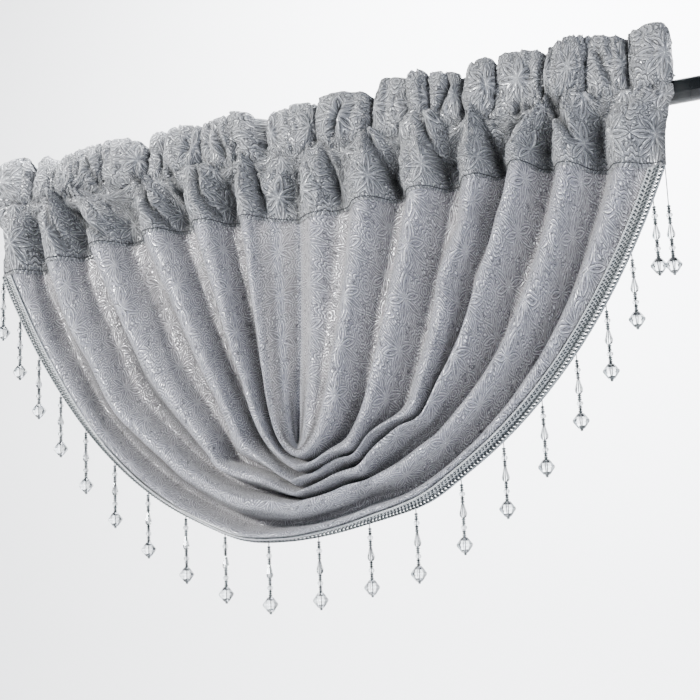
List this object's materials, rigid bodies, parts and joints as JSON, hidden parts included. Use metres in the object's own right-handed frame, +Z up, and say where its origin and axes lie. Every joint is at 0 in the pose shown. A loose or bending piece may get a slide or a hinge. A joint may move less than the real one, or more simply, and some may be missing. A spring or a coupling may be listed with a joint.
{
  "type": "waterfall valance on a curtain rod",
  "caption": "Silver-grey jacquard swag valance falling in nested U folds from a ruffled rod-pocket heading, with braid and a bead fringe, on a plain round rod.",
  "frame": {"origin": "on the rod's axis, at the middle of the heading", "axes": "+X along the rod to the right as seen from the room, -Y towards the room, +Z up"},
  "size_m": [0.99, 0.0757, 0.5856],
  "materials": {
    "cloth": "silver-grey jacquard with a soft sheen",
    "braid": "silver-grey woven gimp",
    "beads": "clear faceted acrylic on grey thread",
    "rod": "black satin"
  },
  "bodies": {
    "root": {"rod": "rod", "heading": "cloth", "swag": "cloth", "braid": "braid", "bead_fringe": "beads"}
  },
  "joints": []
}
